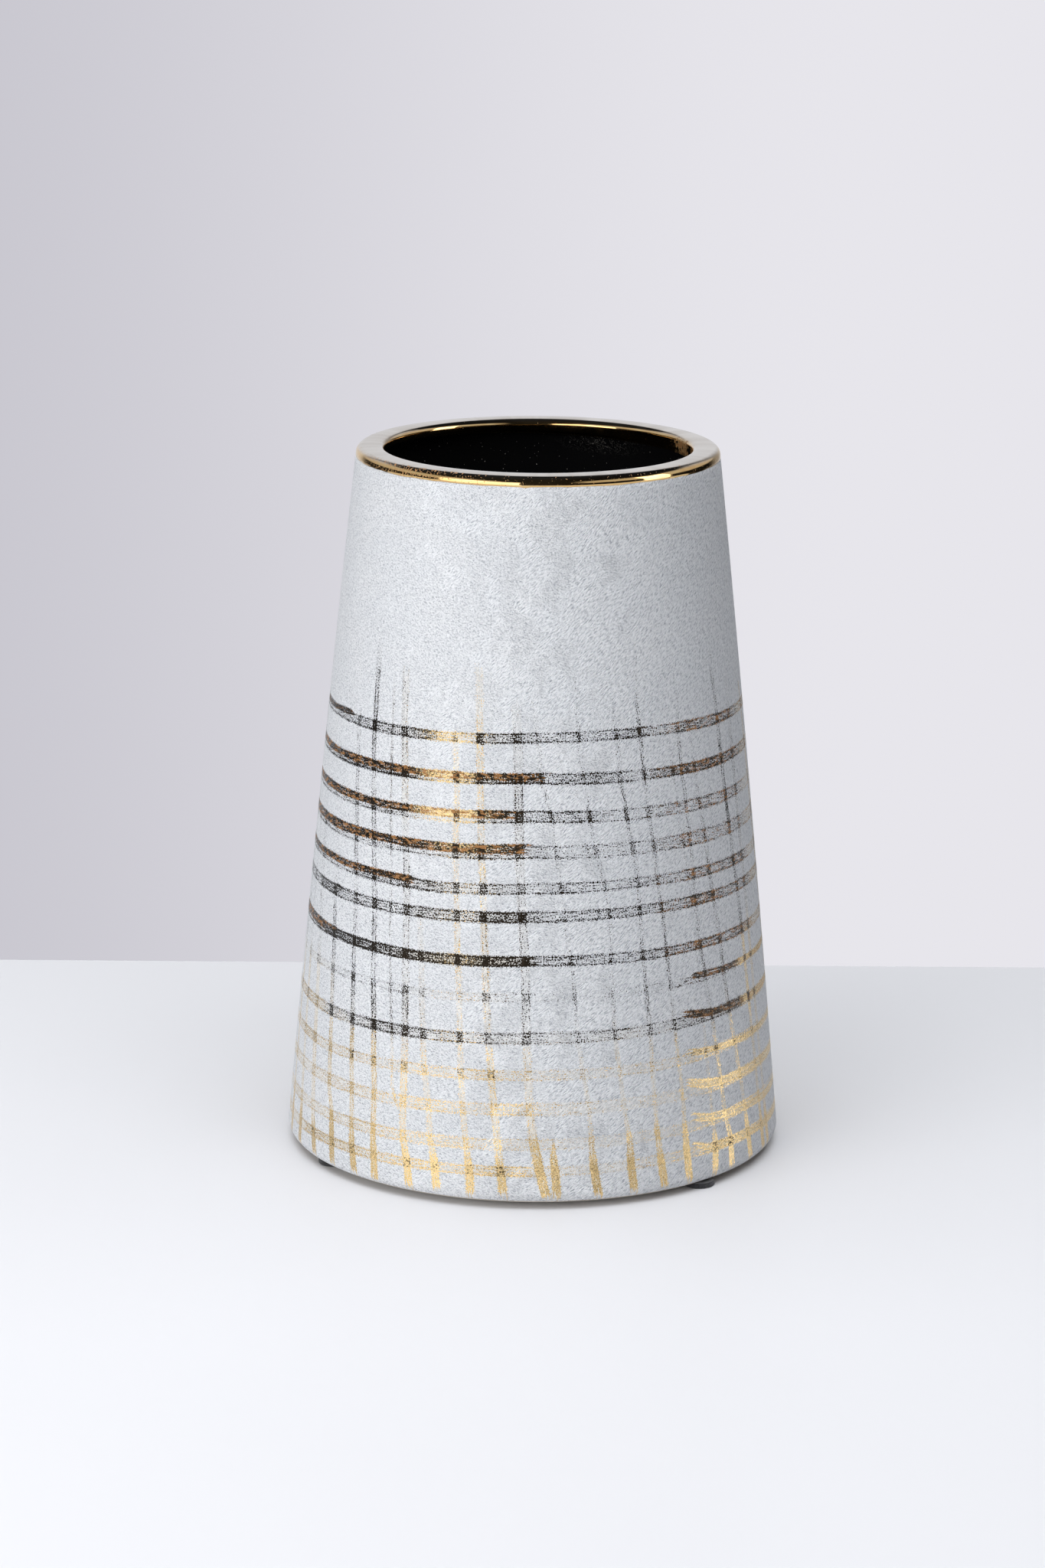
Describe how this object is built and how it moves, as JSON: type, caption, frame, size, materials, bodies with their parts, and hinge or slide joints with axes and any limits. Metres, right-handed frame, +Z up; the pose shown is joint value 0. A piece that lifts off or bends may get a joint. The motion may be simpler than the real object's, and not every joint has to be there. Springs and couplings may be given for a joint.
{
  "type": "vase",
  "caption": "Tapered round porcelain vase with a thick rounded gold lip, matt pale grey glaze outside, black gloss glaze inside and small round felt pads under a flat foot ring.",
  "frame": {"origin": "middle of the surface that the vase stands on, under the centre of its foot", "axes": "+Z up along the vase's axis of revolution; -Y is the side that faces the viewer, +X to the viewer's right"},
  "size_m": [0.2054, 0.2054, 0.2925],
  "materials": {
    "clay": "unglazed fired porcelain clay, dry matt",
    "matt_glaze": "matt pale grey glaze with fine fibrous mottling",
    "black_glaze": "black high-gloss glaze",
    "gold_lustre": "bright fired-on gold lustre",
    "felt": "black pressed felt"
  },
  "bodies": {
    "root": {"clay_body": "clay", "outer_glaze": "matt_glaze", "inner_glaze": "black_glaze", "rim_lustre": "gold_lustre", "foot_pad_1": "felt", "foot_pad_2": "felt", "foot_pad_3": "felt", "foot_pad_4": "felt"}
  },
  "joints": []
}
